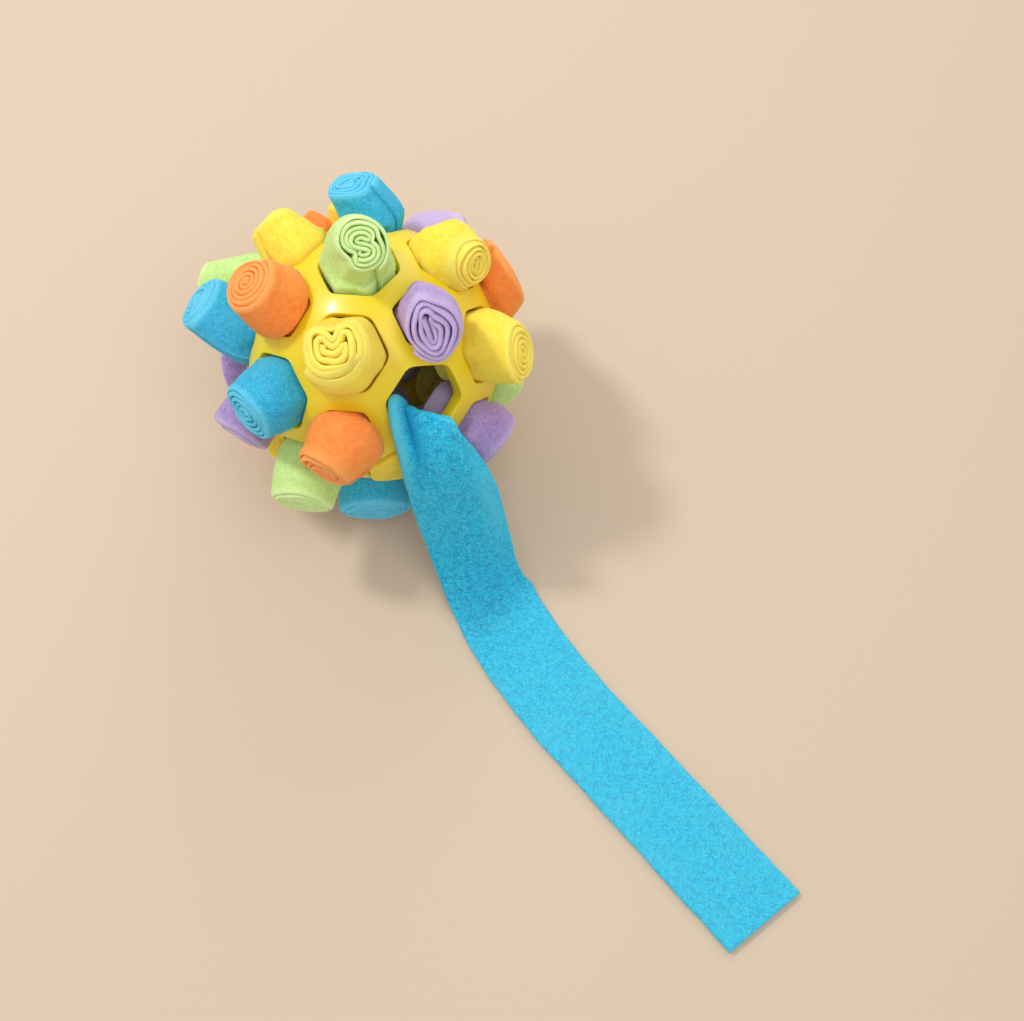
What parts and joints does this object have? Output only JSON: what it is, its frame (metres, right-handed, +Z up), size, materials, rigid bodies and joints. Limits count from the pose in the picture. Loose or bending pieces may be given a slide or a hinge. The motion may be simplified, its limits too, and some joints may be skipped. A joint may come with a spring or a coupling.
{
  "type": "dog snuffle ball",
  "caption": "Soft yellow rubber lattice ball stuffed with rolled fleece strips, one blue strip pulled out of its hole and lying on the floor.",
  "frame": {"origin": "middle of the flat spot of the purple roll that the ball stands on, on the floor", "axes": "+Z up from the floor; the pulled-out strip runs down over the rim towards -Y and lies on the floor towards +X and -Y"},
  "size_m": [0.2608, 0.3201, 0.153],
  "materials": {
    "rubber_yellow": "glossy smooth soft rubber, moulded",
    "fleece_yellow": "matt fleece with a short nap",
    "fleece_orange": "matt fleece with a short nap",
    "fleece_blue": "matt fleece with a short nap",
    "fleece_green": "matt fleece with a short nap",
    "fleece_purple": "matt fleece with a short nap"
  },
  "bodies": {
    "root": {"lattice_ball": "rubber_yellow", "roll_front_yellow": "fleece_yellow", "roll_upper_green": "fleece_green", "roll_right_yellow_high": "fleece_yellow", "roll_right_yellow_low": "fleece_yellow", "roll_left_blue_low": "fleece_blue", "roll_back_yellow_left": "fleece_yellow", "roll_left_blue_high": "fleece_blue", "roll_front_green_low": "fleece_green", "roll_front_yellow_flush": "fleece_yellow", "roll_left_purple_back": "fleece_purple", "roll_left_yellow_under": "fleece_yellow", "roll_right_green_low": "fleece_green", "roll_back_lilac": "fleece_purple", "roll_back_orange": "fleece_orange", "roll_back_yellow_top": "fleece_yellow", "roll_front_purple_under": "fleece_purple", "roll_floor_purple": "fleece_purple", "roll_floor_lilac": "fleece_purple", "roll_back_green_under": "fleece_green", "roll_back_orange_under": "fleece_orange", "roll_right_purple_top": "fleece_purple", "roll_left_orange": "fleece_orange", "roll_front_orange": "fleece_orange", "roll_left_green_back": "fleece_green", "roll_front_blue_low": "fleece_blue", "roll_right_orange": "fleece_orange", "roll_right_purple_low": "fleece_purple", "roll_back_blue_top": "fleece_blue", "roll_left_purple_low": "fleece_purple", "roll_floor_orange": "fleece_orange", "roll_floor_yellow": "fleece_yellow", "roll_back_yellow_under": "fleece_yellow", "pulled_strip": "fleece_blue"}
  },
  "joints": []
}
